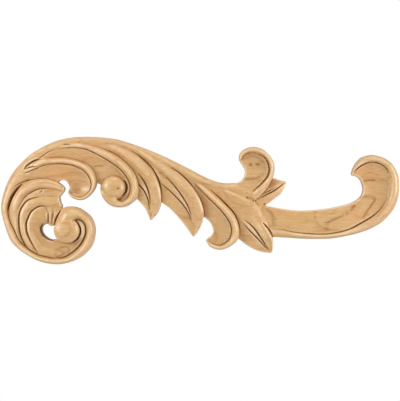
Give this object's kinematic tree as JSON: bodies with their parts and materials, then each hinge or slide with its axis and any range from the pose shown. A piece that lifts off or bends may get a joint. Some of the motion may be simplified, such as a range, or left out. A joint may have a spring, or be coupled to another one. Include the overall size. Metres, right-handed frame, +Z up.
{
  "type": "acanthus wood applique",
  "caption": "Carved hardwood scroll for a flat face: a volute, curling acanthus leaves and a long stem that ends in a hook, flat on the back.",
  "frame": {"origin": "on the flat back, at the middle of the ornament's length and height, where it is fixed", "axes": "+X to the right along the ornament from the volute to the hooked end, +Z up, +Y out of the flat back into what it is fixed to; the carving faces -Y"},
  "size_m": [0.2991, 0.018, 0.096],
  "materials": {
    "wood": "sanded, unfinished light hardwood with a soft sheen"
  },
  "bodies": {
    "root": {"acanthus_applique": "wood"}
  },
  "joints": []
}
